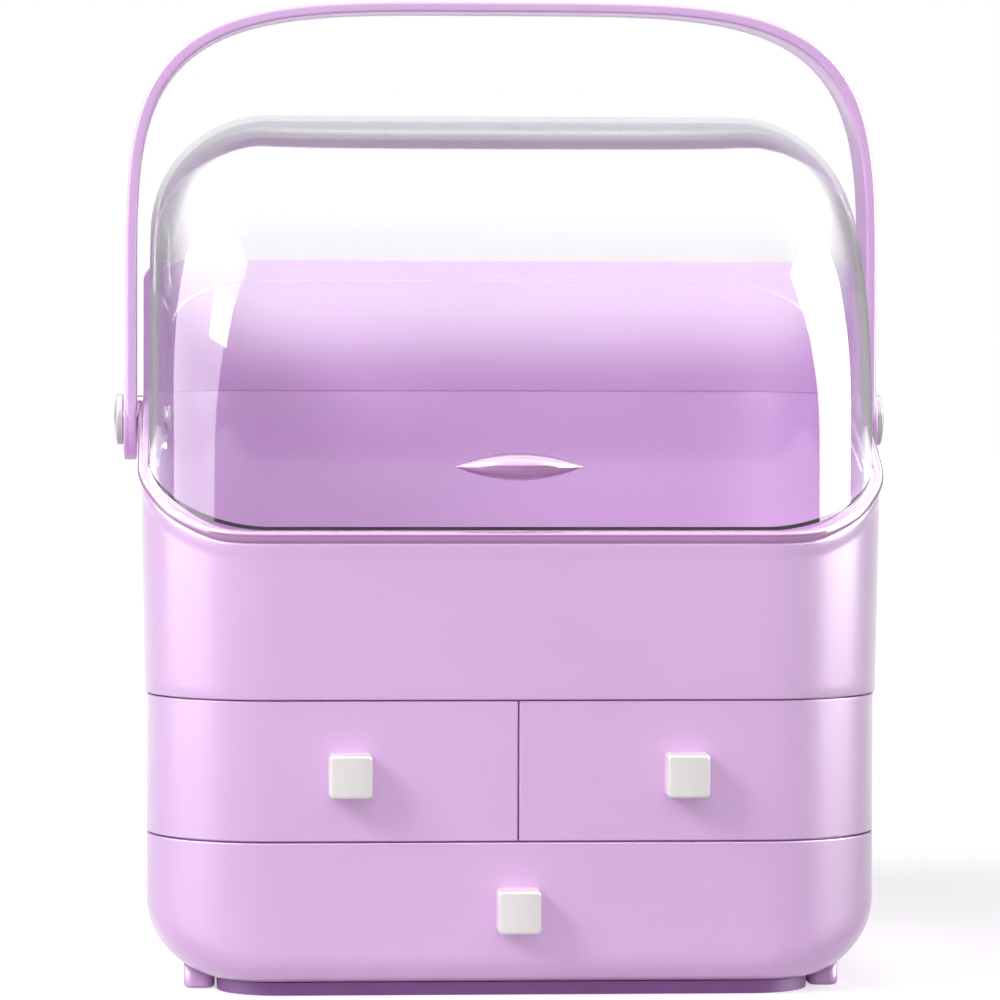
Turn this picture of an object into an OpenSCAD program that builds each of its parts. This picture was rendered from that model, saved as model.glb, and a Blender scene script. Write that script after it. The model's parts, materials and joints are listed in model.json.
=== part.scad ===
// Dustproof makeup organizer.
// Two small drawers over one wide drawer, an open compartment above them,
// a clear cover that rolls back into a hood, and a strap handle.
// Millimetres. X is the width, the front faces -Y, Z is up, and the origin lies
// under the hub axis, on the surface that the organizer stands on.

/* [Upper case] */
// Full width of the upper case at its rim
case_w = 269.6; // [250:1:300]
// Full depth of the upper case at its rim
case_d = 234.6; // [215:1:260]
// Wall of the upper case and of the hood
wall = 2.4; // [2:0.1:3.2]
// How far the upper case draws in, on every side, from the rim ring to the drawers
case_draft = 1; // [0:0.1:2.5]
// Height of the rim above the floor at the front
rim_front_h = 167.6; // [150:0.5:175]
// Height of the rim above the hub axis, at the hubs and behind them
rim_over_hub = 8.9; // [8:0.1:16]
// How far the rim line bows up above a straight slope
rim_bow = 6; // [2:0.1:8]
// Depth at the front over which the rim stays level
rim_level = 3; // [1:0.5:6]
// Thickness of the upper case's floor
floor_t = 2.4; // [2:0.1:4]

/* [Rim ring] */
// How far the ring stands out past the case
ring_out = 1.6; // [1:0.1:2]
// Height of the ring
ring_h = 4; // [3:0.1:8]
// Gap between the ring's ends and the hub spacers
ring_gap = 0.8; // [0.4:0.1:3]

/* [Cover ledge] */
// Length of the side walls, from the front, along which the ledge runs
ledge_len = 46; // [40:1:50]
// How far the ledge reaches in under the cover
ledge_in = 3.4; // [2.5:0.1:4.5]
// Thickness of the ledge
ledge_t = 1.8; // [1.2:0.1:2.5]

/* [Clear cover] */
// Height of the hub axis above the floor
hub_h = 204.5; // [195:0.5:208]
// Wall of the clear cover
cover_t = 2.2; // [1.6:0.1:3]
// Running gap between the cover and the walls outside it
cover_gap = 0.35; // [0.3:0.05:0.8]
// How far the closed cover stays above its ledge
cover_lift = 0.3; // [0.2:0.05:0.5]
// Radius that joins the cover's curved face to its flat sides
dome_r = 44; // [30:1:44]
// How far above the hub axis the cover's rear edge lies, in degrees
cover_rear_deg = 28; // [24:0.5:30]
// How far the cover's sides reach down behind the case's walls
cover_lap = 5; // [3:0.5:7]
// Distance behind the ledge at which the cover's sides start to reach down
lap_start = 2.4; // [1:0.1:5]
// Radius of the ears that carry the cover on its pins
cover_ear_r = 11; // [9:0.5:14]

/* [Hood] */
// Height of the hood's top edge above the floor
hood_h = 266; // [255:0.5:272]
// Distance behind the hub axis where the hood's front edge starts
hood_start = 2; // [0:0.5:10]
// Distance that the hood's front edge leans back on its way up
hood_lean = 2; // [0:1:30]
// Radius at the top of the hood's front edge
hood_r = 7; // [3:1:18]
// Radius at the hood's two top corners, seen from the front
hood_corner = 12; // [4:1:20]

/* [Cover pull] */
// Width of the pull
pull_w = 46; // [36:1:60]
// Height of the pull in the middle
pull_t = 10; // [7:0.5:14]
// How far the pull stands out
pull_d = 11; // [8:0.5:14]
// Height of the pull's middle above the rim at the front
pull_rise = 23; // [18:0.5:28]

/* [Handle] */
// Height of the handle's top above the floor
handle_h = 361.6; // [350:1:380]
// Thickness of the strap
strap_t = 3.9; // [3:0.1:5]
// Width of the strap
strap_w = 30.6; // [22:0.5:34]
// Squareness of the arch, where 2 is an ellipse
arch_power = 4.3; // [2.2:0.1:5]
// Height above the floor where the straight arms end and the arch starts
arch_start_h = 244; // [225:1:255]
// Extra thickness of the round ends at the hubs
end_pad = 0.9; // [0.4:0.1:2]
// Gap between the handle's ends and the spacers
handle_gap = 0.3; // [0.25:0.05:0.6]

/* [Hubs] */
// Radius of the hub pins
pin_r = 3.5; // [3:0.25:4]
// Running clearance of the pins, measured on the radius
pin_gap = 0.05; // [0.02:0.01:0.1]
// Radius of the spacers between the case and the handle
spacer_r = 9; // [7:0.5:10]
// Thickness of the spacers
spacer_t = 2.2; // [1.8:0.1:4]
// Radius of the white caps
cap_r = 9.5; // [8:0.1:12]
// Thickness of the white caps
cap_t = 3.5; // [3:0.1:6]
// Height of the crown on the caps
cap_crown = 1.2; // [0.5:0.1:2]
// Radius of the nuts inside the cover
nut_r = 5.2; // [5:0.1:8]
// Thickness of the nuts
nut_t = 1.8; // [1.2:0.1:2.5]

/* [Lower case] */
// Full width of the lower case and the drawer fronts
lower_w = 266; // [245:1:290]
// Full depth of the lower case and the drawer fronts
lower_d = 231; // [212:1:255]
// Radius of the upright corners
corner_r = 45; // [35:1:55]
// Wall of the lower case
lower_wall = 2.4; // [2:0.1:3]
// Height of the lower case's underside above the floor
base_h = 4.7; // [3:0.1:8]
// Height of the bottom row of drawers
low_row_h = 51.7; // [42:0.5:60]
// Height of the top row of drawers
top_row_h = 51; // [42:0.5:60]
// Radius of the bottom edge at the sides
side_round = 27.5; // [20:0.5:36]
// Radius of the bottom edge at the front and the back
front_round = 12; // [6:1:18]
// Thickness of the shelf
shelf_t = 2.2; // [1.6:0.1:3]
// Thickness of the divider
divider_t = 2; // [1.6:0.1:3]

/* [Drawers] */
// Thickness of the drawer fronts
front_t = 2.6; // [2:0.1:3.5]
// Width of the seams between the drawer fronts
seam = 0.6; // [0.4:0.1:1.2]
// Width of the seam between the small drawers and the upper case
top_seam = 0.5; // [0.4:0.1:1.2]
// Length of the drawer fronts' returns along the sides
return_len = 49.5; // [46:0.5:60]
// Thickness of the drawer boxes' walls
box_t = 1.8; // [1.4:0.1:2.5]
// Gap over the wide drawer's box
box_top_gap = 4.4; // [3:0.1:8]
// Gap over the small drawers' boxes
small_top_gap = 5; // [3:0.1:8]
// Gap at the side of each drawer box
box_side_gap = 2.9; // [2:0.1:5]
// Gap behind each drawer box
box_rear_gap = 5; // [3:0.5:10]
// Running gap under and between the drawer boxes
box_gap = 0.3; // [0.2:0.05:0.5]

/* [Knobs] */
// Width and height of the square knobs
knob_w = 15.4; // [12:0.1:22]
// How far the knobs stand out
knob_d = 12; // [8:0.5:16]
// Radius of the knobs' curved front face
knob_face_r = 34; // [20:1:60]
// Distance of the small drawers' knobs from the middle
knob_x = 60.2; // [45:0.5:75]
// Height of the small drawers' knobs above the floor
knob_top_h = 80.7; // [75:0.5:90]
// Height of the wide drawer's knob above the floor
knob_low_h = 32.2; // [26:0.5:38]

/* [Screws] */
// Radius of the screws' shanks
screw_r = 2; // [1.5:0.1:2.2]
// Radius of the screws' heads
head_r = 3.6; // [3:0.1:4.5]
// Thickness of the screws' heads
head_t = 1.6; // [1.2:0.1:2]
// Clearance of the screws, measured on the radius
screw_gap = 0.05; // [0.02:0.01:0.1]
// How far the knobs' screws reach into the knobs
screw_in = 7.2; // [5:0.1:7.5]
// How far the plinth screws' heads sit inside the plinth
head_sink = 0.8; // [0.4:0.1:1.5]
// How far the plinth screws end below the top of the lower case's floor
screw_short = 0.2; // [0.1:0.1:1]
// How far the deck screws' tips reach out below the deck
screw_out = 1; // [0.2:0.1:2]
// Distance of the deck screws from the middle, along the width
deck_screw_x = 90; // [70:1:95]
// Distance of the front deck screws from the hub axis
deck_screw_front = 72; // [50:1:75]
// Distance of the rear deck screws from the hub axis
deck_screw_rear = 84; // [60:1:88]
// Distance of the plinth screws from the middle, along the width
plinth_screw_x = 80; // [40:1:85]
// Distance of the plinth screws from the middle, along the depth
plinth_screw_y = 50; // [30:1:85]

/* [Base] */
// Full width of the plinth
plinth_w = 215; // [190:1:230]
// Full depth of the plinth
plinth_d = 209; // [190:1:216]
// Corner radius of the plinth
plinth_r = 22; // [6:1:30]
// Width of each side foot
foot_w = 11.2; // [8:0.2:14]
// Length of each side foot
foot_l = 168; // [120:1:180]
// Corner radius of the side feet
foot_r = 4; // [2:0.5:5]
// Gap between the plinth and a foot
foot_gap = 0.8; // [0.4:0.1:4]

/* [Hidden] */
$fn = 96;
eps = 0.01;
far = 400;
cut = 1;
past = 10;
// How far the hood's corner rounding runs out past its side walls, which leaves a fine crease there
hood_crease = 0.5;
rim_steps = 16;
lap_steps = 8;
arch_steps = 64;
cap_facets = 160;
rim_hub_h = hub_h + rim_over_hub;
pull_h = rim_front_h + pull_rise;
case_hw = case_w / 2;
case_hd = case_d / 2;
case_in_hw = case_hw - wall;
case_in_hd = case_hd - wall;
cover_hw = case_in_hw - cover_gap;
cover_r = case_in_hd - cover_gap;
case_r = dome_r + cover_gap + wall;
case_in_r = case_r - wall;
ring_bottom = rim_front_h - ring_h;
ring_back = -spacer_r - ring_gap;
lower_hw = lower_w / 2;
lower_hd = lower_d / 2;
shelf_mid = base_h + low_row_h;
deck_top = shelf_mid + top_row_h;
floor_top = deck_top + floor_t;
deck_bottom = deck_top - lower_wall;
shelf_top = shelf_mid + shelf_t / 2;
shelf_bottom = shelf_mid - shelf_t / 2;
return_y = -lower_hd + return_len;
bay_front = -lower_hd + front_t;
box_hw = lower_hw - front_t - box_side_gap;
box_back = lower_hd - lower_wall - box_rear_gap;
ledge_y = -case_hd + ledge_len;
lap_y = ledge_y + lap_start;
pad_x0 = case_hw + spacer_t + handle_gap;
strap_x1 = pad_x0 + strap_t;
pad_x1 = strap_x1 + end_pad;
cap_x0 = pad_x1 + handle_gap;
end_r = strap_w / 2;
nut_x1 = cover_hw - cover_t - handle_gap;
nut_x0 = nut_x1 - nut_t;
knob_y = -lower_hd;
screw_end = knob_y - screw_in;
deck_screws = [for (s = [-1, 1], y = [deck_screw_rear, -deck_screw_front]) [s * deck_screw_x, y]];
plinth_screws = [for (s = [-1, 1], y = [-1, 1]) [s * plinth_screw_x, y * plinth_screw_y]];
lilac = [0.85, 0.69, 0.87];
lilac_dark = [0.74, 0.58, 0.78];
ivory = [0.93, 0.92, 0.89];
steel = [0.72, 0.73, 0.76];
clear = [0.86, 0.86, 0.94, 0.35];

// Rounded rectangle about the origin, given by its half sizes
module plan(hw, hd, r) {
  square([2 * hw, 2 * (hd - r)], center = true);
  square([2 * (hw - r), 2 * hd], center = true);
  for (x = [-1, 1], y = [-1, 1]) translate([x * (hw - r), y * (hd - r)]) circle(r = r);
}

// Upright block on a rounded plan
module block(hw, hd, r, z0, z1) {
  translate([0, 0, z0]) linear_extrude(z1 - z0) plan(hw, hd, r);
}

// Rectangle standing on the X axis, round at its two lower corners
module round_bottom(hw, h, r) {
  translate([-hw, r]) square([2 * hw, h - r]);
  translate([-hw + r, 0]) square([2 * (hw - r), h]);
  for (x = [-1, 1]) translate([x * (hw - r), r]) circle(r = r);
}

// Carries an outline drawn in Y and Z along the width
module across(half) {
  rotate([90, 0, 90]) translate([0, 0, -half]) linear_extrude(2 * half) children();
}

// Carries an outline drawn in X and Z along the depth
module along(half) {
  rotate([90, 0, 0]) translate([0, 0, -half]) linear_extrude(2 * half) children();
}

// Box from its lowest corner to its highest corner
module span(low, high) {
  translate(low) cube(high - low);
}

// Cylinder along X
module rod(x0, x1, r) {
  translate([min(x0, x1), 0, hub_h]) rotate([0, 90, 0]) cylinder(r = r, h = abs(x1 - x0));
}

// Outer form of the lower half, drawn in by a distance on every side
module lower_form(inset, z0, z1) {
  intersection() {
    block(lower_hw - inset, lower_hd - inset, corner_r - inset, z0 + inset, z1);
    along(far) translate([0, z0 + inset])
      round_bottom(lower_hw - inset, far, side_round - inset);
    across(far) translate([0, z0 + inset])
      round_bottom(lower_hd - inset, far, front_round - inset);
  }
}

// Height of the rim line over a place along the depth
function rim_z(y) = let (t = min(1, max(0, (y + case_hd - rim_level) / (case_hd - rim_level))))
  rim_front_h + (rim_hub_h - rim_front_h) * t + 4 * rim_bow * t * (1 - t);

// Outline, in Y and Z, of all that lies under the rim line lowered by a drop
module under_rim(drop) {
  line = [for (i = [0 : rim_steps]) let (y = (rim_level - case_hd) * (1 - i / rim_steps))
    [y, rim_z(y) - drop]];
  polygon(concat([[-far, 0], [-far, rim_front_h - drop]], line,
    [[far, rim_hub_h - drop], [far, 0]]));
}

// Drum about the hub axis, as a turned profile with rounded edges, between two angles
// that are measured from straight down towards the back
module drum(r, hw, edge, from, to) {
  translate([0, 0, hub_h]) rotate([0, 90, 0]) rotate([0, 0, from])
    rotate_extrude(angle = to - from) intersection() {
      plan(r, hw, edge);
      translate([0, -far]) square([far, 2 * far]);
    }
}

// Rounded block that narrows evenly on every side, by a draft, from its top to its bottom
module drafted(hw, hd, r, draft, z0, z1) {
  for (x = [-1, 1], y = [-1, 1]) translate([x * (hw - r), y * (hd - r), z0])
    cylinder(r1 = r - draft, r2 = r, h = z1 - z0);
  across(hw - r) polygon([[draft - hd, z0], [hd - draft, z0], [hd, z1], [-hd, z1]]);
  along(hd - r) polygon([[draft - hw, z0], [hw - draft, z0], [hw, z1], [-hw, z1]]);
}

// Form of the upper case drawn in by a distance on every side, from a height upwards
module case_form(inset, z0) {
  part = case_draft * (ring_bottom - z0) / (ring_bottom - deck_top);
  drafted(case_hw - inset, case_hd - inset, case_r - inset, part, z0, ring_bottom);
  block(case_hw - inset, case_hd - inset, case_r - inset, ring_bottom, far);
}

// Room inside the upper case, with the ledge for the cover left standing
module case_room() {
  open_in = wall + ledge_in;
  intersection() {
    case_form(wall, floor_top);
    across(far) union() {
      under_rim(ledge_t);
      translate([ledge_y, 0]) square([far, far]);
    }
  }
  block(case_hw - open_in, case_hd - open_in, case_r - open_in, floor_top + eps, far);
}

module upper_case() {
  color(lilac) difference() {
    intersection() {
      case_form(0, deck_top);
      across(far) under_rim(0);
    }
    case_room();
    rod(-far, far, pin_r + pin_gap);
    for (p = deck_screws) translate([p[0], p[1], deck_top - cut])
      cylinder(r = screw_r + screw_gap, h = floor_t + cut);
    for (p = deck_screws) translate([p[0], p[1], floor_top - head_t])
      cylinder(r = head_r + screw_gap, h = head_t + cut);
  }
}

module rim_ring() {
  color(lilac) difference() {
    intersection() {
      block(case_hw + ring_out, case_hd + ring_out, case_r + ring_out, deck_top, far);
      across(far) difference() {
        under_rim(0);
        under_rim(ring_h);
      }
      span([-far, -far, 0], [far, ring_back, far]);
    }
    block(case_hw, case_hd, case_r, 0, far);
  }
}

module rear_hood() {
  top_y = hood_start + hood_lean;
  color(lilac) difference() {
    intersection() {
      drum(case_hd, case_hw, case_r, 90, 180);
      along(far) translate([0, hood_h]) rotate(180)
        round_bottom(case_hw + hood_crease, hood_h, hood_corner);
      across(far) difference() {
        polygon([[hood_start, rim_hub_h], [top_y, hood_h - hood_r], [top_y, hood_h],
          [far, hood_h], [far, rim_hub_h]]);
        translate([top_y - eps, hood_h - hood_r]) difference() {
          square([hood_r + eps, hood_r + eps]);
          translate([hood_r + eps, 0]) circle(r = hood_r);
        }
      }
    }
    drum(case_in_hd, case_in_hw, case_in_r, 90 - past, 180 + past);
  }
}

// Section of the cover's wall from the hub axis out to a reach, with the distance from
// the axis as its first direction and the width as its second
module cover_section(reach) {
  intersection() {
    difference() {
      plan(cover_r, cover_hw, dome_r);
      plan(cover_r - cover_t, cover_hw - cover_t, dome_r - cover_t);
    }
    translate([0, -far]) square([reach, 2 * far]);
  }
}

// Part of the cover turned about the hub axis, measured from straight down towards the back
module cover_turn(from, angle, reach) {
  translate([0, 0, hub_h]) rotate([0, 90, 0]) rotate([0, 0, from])
    rotate_extrude(angle = angle) cover_section(reach);
}

// Side view of the closed cover: above the rim, lapped behind the walls, and open at the rear
module cover_outline() {
  front = [for (y = [-far, rim_level - case_hd]) [y, rim_z(y) + cover_lift]];
  run = lap_y - rim_level + case_hd;
  rise = [for (i = [1 : rim_steps]) let (y = rim_level - case_hd + run * i / rim_steps)
    [y, rim_z(y) + cover_lift]];
  lap = [for (i = [0 : lap_steps]) let (y = lap_y * (1 - i / lap_steps)) [y, rim_z(y) - cover_lap]];
  polygon(concat(front, rise, lap,
    [[0, hub_h], [far, hub_h + far * tan(cover_rear_deg)], [far, 2 * far], [-far, 2 * far]]));
  translate([0, hub_h]) circle(r = cover_ear_r);
}

module clear_cover() {
  drop = hub_h - rim_front_h + cover_lap;
  color(clear) difference() {
    intersection() {
      union() {
        cover_turn(90, 180, far);
        cover_turn(0, 90, cover_ear_r + cut);
        translate([0, 0, hub_h]) mirror([0, 0, 1]) linear_extrude(drop)
          rotate(-90) cover_section(far);
      }
      across(far) cover_outline();
    }
    rod(-far, far, pin_r + pin_gap);
  }
}

// Leaf shape between two arcs
module leaf(w, t) {
  r = (w * w / 4 + t * t / 4) / t;
  intersection() {
    translate([0, r - t / 2]) circle(r = r);
    translate([0, t / 2 - r]) circle(r = r);
  }
}

module cover_pull() {
  color(lilac) translate([0, -cover_r, pull_h]) intersection() {
    along(pull_d) leaf(pull_w, pull_t);
    translate([0, 0, -pull_t]) linear_extrude(2 * pull_t) leaf(pull_w, 2 * pull_d);
    span([-far, -far, -far], [far, 0, far]);
  }
}

// Point on the arch at an angle, for a half span and a rise
function arch_at(a, hx, hz) =
  [hx * sign(cos(a)) * pow(abs(cos(a)), 2 / arch_power),
   arch_start_h + hz * pow(abs(sin(a)), 2 / arch_power)];

// Half outline of the strap's outer face, and of its inner face
module arch(hx, hz) {
  pts = [for (i = [0 : arch_steps]) arch_at(180 * i / arch_steps, hx, hz)];
  polygon(concat([[hx, 0]], pts, [[-hx, 0]]));
}

module handle() {
  rise = handle_h - arch_start_h;
  color(lilac) difference() {
    union() {
      along(strap_w / 2) difference() {
        arch(strap_x1, rise);
        arch(pad_x0, rise - strap_t);
        translate([-far, 0]) square([2 * far, hub_h]);
      }
      for (s = [-1, 1]) rod(s * pad_x0, s * pad_x1, end_r);
    }
    rod(-far, far, pin_r + pin_gap);
  }
}

module hub_cap(s) {
  dome = (cap_r * cap_r + cap_crown * cap_crown) / (2 * cap_crown);
  top = cap_x0 + cap_t;
  color(ivory) intersection() {
    rod(s * cap_x0, s * top, cap_r);
    translate([s * (top - dome), 0, hub_h]) sphere(r = dome, $fn = cap_facets);
  }
}

module hub_pin(s) {
  color(steel) rod(s * nut_x0, s * cap_x0, pin_r);
}

module hub_spacer(s) {
  color(lilac_dark) difference() {
    rod(s * case_hw, s * (case_hw + spacer_t), spacer_r);
    rod(-far, far, pin_r + pin_gap);
  }
}

module hub_nut(s) {
  color(ivory) difference() {
    rod(s * nut_x0, s * nut_x1, nut_r);
    rod(-far, far, pin_r + pin_gap);
  }
}

// Flat plate inside the drawer fronts, as wide as the case behind their returns
module bay_plate(z0, z1) {
  inset = front_t + seam;
  block(lower_hw - inset, lower_hd - inset, corner_r - inset, z0, z1);
  intersection() {
    block(lower_hw - lower_wall, lower_hd - lower_wall, corner_r - lower_wall, z0, z1);
    span([-far, return_y + seam, 0], [far, far, far]);
  }
}

module lower_case() {
  color(lilac) difference() {
    union() {
      intersection() {
        difference() {
          lower_form(0, base_h, deck_top);
          lower_form(lower_wall, base_h, far);
        }
        span([-far, return_y + seam, 0], [far, far, far]);
      }
      bay_plate(deck_bottom, deck_top);
    }
    for (p = deck_screws) translate([p[0], p[1], deck_bottom - cut])
      cylinder(r = screw_r + screw_gap, h = lower_wall + 2 * cut);
    for (p = plinth_screws) translate([p[0], p[1], base_h - cut])
      cylinder(r = screw_r + screw_gap, h = lower_wall + 2 * cut);
  }
}

module middle_shelf() {
  color(lilac_dark) bay_plate(shelf_bottom, shelf_top);
}

module drawer_divider() {
  color(lilac_dark) span([-divider_t / 2, bay_front + seam, shelf_top],
    [divider_t / 2, lower_hd - lower_wall, deck_bottom]);
}

// Skin of the lower half at the front, between two heights and two sides
module front_skin(z0, z1, x0, x1) {
  difference() {
    intersection() {
      lower_form(0, base_h + box_gap, deck_top);
      span([x0, -far, z0], [x1, return_y, z1]);
    }
    lower_form(front_t, base_h + box_gap, far);
  }
}

// Hole for a knob's screw through a drawer's front
module knob_hole(x, z) {
  translate([x, 0, z]) rotate([90, 0, 0])
    cylinder(r = screw_r + screw_gap, h = far);
}

module drawer_front_small(s) {
  low = s < 0 ? -far : seam / 2;
  high = s < 0 ? -seam / 2 : far;
  color(lilac) difference() {
    front_skin(shelf_mid + seam / 2, deck_top - top_seam, low, high);
    knob_hole(s * knob_x, knob_top_h);
  }
}

module drawer_front_wide() {
  color(lilac) difference() {
    front_skin(0, shelf_mid - seam / 2, -far, far);
    knob_hole(0, knob_low_h);
  }
}

// Open box with round front corners
module drawer_box(x0, x1, z0, z1) {
  r = corner_r - front_t - box_side_gap;
  hd = (box_back - bay_front) / 2;
  mid = (box_back + bay_front) / 2;
  difference() {
    intersection() {
      translate([0, mid, 0]) block(box_hw, hd, r, z0, z1);
      lower_form(front_t, base_h + box_gap, far);
      span([x0, -far, z0], [x1, far, z1]);
    }
    intersection() {
      translate([0, mid, 0]) block(box_hw - box_t, hd - box_t, r - box_t, z0 + box_t, far);
      lower_form(front_t + box_t, base_h + box_gap, far);
      span([x0 + box_t, -far, z0 + box_t], [x1 - box_t, far, far]);
    }
  }
}

module drawer_box_small(s) {
  near = divider_t / 2 + box_gap;
  low = s < 0 ? -box_hw : near;
  high = s < 0 ? -near : box_hw;
  color(ivory) difference() {
    drawer_box(low, high, shelf_top + box_gap, deck_bottom - small_top_gap);
    knob_hole(s * knob_x, knob_top_h);
  }
}

module drawer_box_wide() {
  color(ivory) difference() {
    drawer_box(-box_hw, box_hw, base_h + lower_wall + box_gap, shelf_bottom - box_top_gap);
    knob_hole(0, knob_low_h);
  }
}

module knob(x, z) {
  color(ivory) difference() {
    intersection() {
      span([x - knob_w / 2, knob_y - knob_d, z - knob_w / 2],
        [x + knob_w / 2, knob_y, z + knob_w / 2]);
      translate([x, knob_y - knob_d + knob_face_r, z - knob_w])
        cylinder(r = knob_face_r, h = 2 * knob_w);
    }
    translate([x, knob_y + cut, z]) rotate([90, 0, 0])
      cylinder(r = screw_r + screw_gap, h = screw_in + cut);
  }
}

module knob_screw(x, z) {
  inside = bay_front + box_t;
  color(steel) translate([x, 0, z]) rotate([90, 0, 0]) {
    translate([0, 0, -inside]) cylinder(r = screw_r, h = inside - screw_end);
    translate([0, 0, -inside - head_t]) cylinder(r = head_r, h = head_t);
  }
}

module base_plinth() {
  color(lilac_dark) difference() {
    block(plinth_w / 2, plinth_d / 2, plinth_r, 0, base_h);
    for (p = plinth_screws) translate([p[0], p[1], -cut]) {
      cylinder(r = screw_r + screw_gap, h = base_h + 2 * cut);
      cylinder(r = head_r + screw_gap, h = head_sink + head_t + cut);
    }
  }
}

module side_foot(s) {
  x0 = plinth_w / 2 + foot_gap;
  color(lilac) difference() {
    translate([s * (x0 + foot_w / 2), 0, 0]) block(foot_w / 2, foot_l / 2, foot_r, 0, side_round);
    lower_form(0, base_h, far);
    intersection() {
      lower_form(-box_gap, base_h + box_gap, far);
      span([-far, -far, 0], [far, return_y + seam, far]);
    }
  }
}

module deck_screw_set() {
  color(steel) for (p = deck_screws) translate([p[0], p[1], 0]) {
    translate([0, 0, deck_bottom - screw_out])
      cylinder(r = screw_r, h = floor_top - deck_bottom + screw_out);
    translate([0, 0, floor_top - head_t]) cylinder(r = head_r, h = head_t);
  }
}

module plinth_screw_set() {
  color(steel) for (p = plinth_screws) translate([p[0], p[1], head_sink]) {
    cylinder(r = screw_r, h = base_h + lower_wall - head_sink - screw_short);
    cylinder(r = head_r, h = head_t);
  }
}

lower_case();
middle_shelf();
drawer_divider();
upper_case();
rim_ring();
rear_hood();
clear_cover();
cover_pull();
handle();
hub_cap(-1);  // hub_cap_left
hub_cap(1);  // hub_cap_right
hub_pin(-1);  // hub_pin_left
hub_pin(1);  // hub_pin_right
hub_spacer(-1);  // hub_spacer_left
hub_spacer(1);  // hub_spacer_right
hub_nut(-1);  // hub_nut_left
hub_nut(1);  // hub_nut_right
drawer_front_small(-1);  // drawer_front_left
drawer_front_small(1);  // drawer_front_right
drawer_front_wide();
drawer_box_small(-1);  // drawer_box_left
drawer_box_small(1);  // drawer_box_right
drawer_box_wide();
knob(-knob_x, knob_top_h);  // knob_left
knob(knob_x, knob_top_h);  // knob_right
knob(0, knob_low_h);  // knob_wide
knob_screw(-knob_x, knob_top_h);  // knob_screw_left
knob_screw(knob_x, knob_top_h);  // knob_screw_right
knob_screw(0, knob_low_h);  // knob_screw_wide
base_plinth();
side_foot(-1);  // side_foot_left
side_foot(1);  // side_foot_right
deck_screw_set();  // deck_screws
plinth_screw_set();  // plinth_screws
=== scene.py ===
"""Looks of a dustproof makeup organizer: fine pieces, finishes, camera and light.

Sizes are in millimetres, as on the part, and every mesh is made in metres. X is the width,
the front faces -Y, Z is up, and the origin lies under the hub axis on the floor.
"""
import math

import bmesh
import bpy
import numpy as np
from mathutils import Matrix, Vector
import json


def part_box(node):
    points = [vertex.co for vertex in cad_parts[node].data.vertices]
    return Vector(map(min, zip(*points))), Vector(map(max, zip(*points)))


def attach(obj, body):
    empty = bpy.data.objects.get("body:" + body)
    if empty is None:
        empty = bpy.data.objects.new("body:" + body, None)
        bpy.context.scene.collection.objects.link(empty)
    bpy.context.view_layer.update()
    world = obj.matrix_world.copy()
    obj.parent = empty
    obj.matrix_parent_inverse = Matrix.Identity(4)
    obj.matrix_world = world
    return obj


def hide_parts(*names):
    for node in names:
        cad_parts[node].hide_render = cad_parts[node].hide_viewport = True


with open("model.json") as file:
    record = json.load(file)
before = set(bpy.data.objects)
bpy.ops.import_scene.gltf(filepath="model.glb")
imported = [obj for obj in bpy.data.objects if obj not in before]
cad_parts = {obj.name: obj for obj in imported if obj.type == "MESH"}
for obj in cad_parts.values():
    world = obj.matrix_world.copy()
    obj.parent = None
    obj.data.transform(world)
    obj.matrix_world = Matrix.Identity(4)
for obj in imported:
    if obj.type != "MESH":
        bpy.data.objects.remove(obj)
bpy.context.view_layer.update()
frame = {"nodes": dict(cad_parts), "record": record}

MM = 0.001
SIDES = {-1: "left", 1: "right"}


def corners(node):
    """Lowest and highest corner of a CAD node at rest, in millimetres."""
    return np.round(np.array(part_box(node)) / MM, 3)


# Lower half: drawers and the case round them
low, high = corners("lower_case")
LOWER_HALF_W, LOWER_HALF_D, DECK_TOP = high
BASE_H = low[2]
CORNER_R, SIDE_ROUND, FRONT_ROUND, EDGE = 45.0, 27.5, 12.0, 0.5
LOWER_WALL, FRONT_T, DECK_T = 2.4, 2.6, 2.4
SHELF_MID = corners("middle_shelf")[:, 2].mean()
low, high = corners("drawer_front_wide")
RETURN_Y, BOX_GAP = high[1], low[2] - BASE_H
low, high = corners("drawer_front_right")
SEAM, TOP_SEAM = 2 * low[0], DECK_TOP - high[2]
low, high = corners("drawer_box_wide")
TRAY_FRONT, TRAY_BACK, TRAY_TOP, TRAY_T = low[1], high[1], high[2], 1.8
TRAY_SIDE = LOWER_HALF_W - FRONT_T - high[0]

# Upper case, its rim and the ring round it
CASE_HALF_W, CASE_HALF_D, RIM_HUB_H = corners("upper_case")[1]
CASE_R, CASE_DRAFT, WALL, FLOOR_T = 46.75, 1.0, 2.4, 2.4
FLOOR_TOP = DECK_TOP + FLOOR_T
RING_H, RIM_BOW, RIM_LEVEL = 4.0, 6.0, 3.0
low, high = corners("rim_ring")
RIM_FRONT_H, RING_OUT, RING_BACK = low[2] + RING_H, high[0] - CASE_HALF_W, high[1]
LEDGE_LENGTH, LEDGE_IN, LEDGE_T = 46.0, 3.4, 1.8
LEDGE_Y = LEDGE_LENGTH - CASE_HALF_D

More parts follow.
